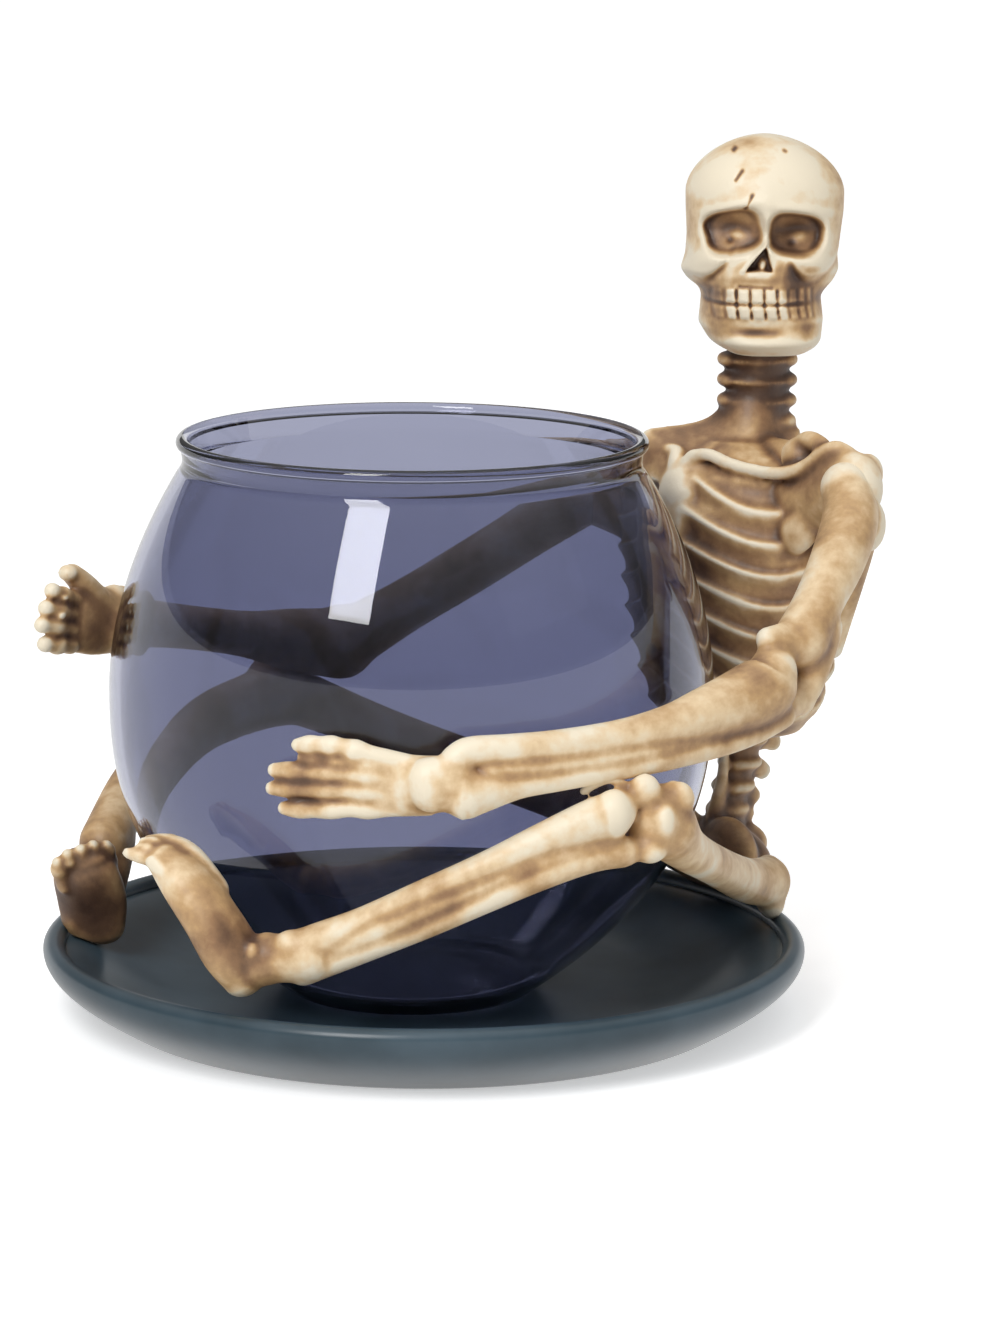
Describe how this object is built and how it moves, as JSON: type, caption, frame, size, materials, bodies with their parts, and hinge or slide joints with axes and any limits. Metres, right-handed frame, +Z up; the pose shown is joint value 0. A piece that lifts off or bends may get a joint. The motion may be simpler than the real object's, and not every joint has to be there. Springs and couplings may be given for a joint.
{
  "type": "skeleton candle holder",
  "caption": "Decorative candle holder: a smoked glass bowl standing in a dark saucer dish, with a cast skeleton seated on the rim and its arms and legs round the bowl.",
  "frame": {"origin": "centre of the dish's flat underside, which stands on the table", "axes": "+Z up; -Y towards the side from which the skeleton's face and near arm are seen; the skeleton sits on the +X side, a third of the way round towards +Y"},
  "size_m": [0.1886, 0.1702, 0.191],
  "materials": {
    "dish_resin": "dark teal-black gloss enamel over cast resin, worn paler along the lip",
    "smoked_glass": "clear smooth glass, smoked blue-violet",
    "bone_resin": "cast resin painted ivory with a brown wash in the hollows, satin"
  },
  "bodies": {
    "root": {"base_dish": "dish_resin", "glass_bowl": "smoked_glass", "skeleton": "bone_resin"}
  },
  "joints": []
}
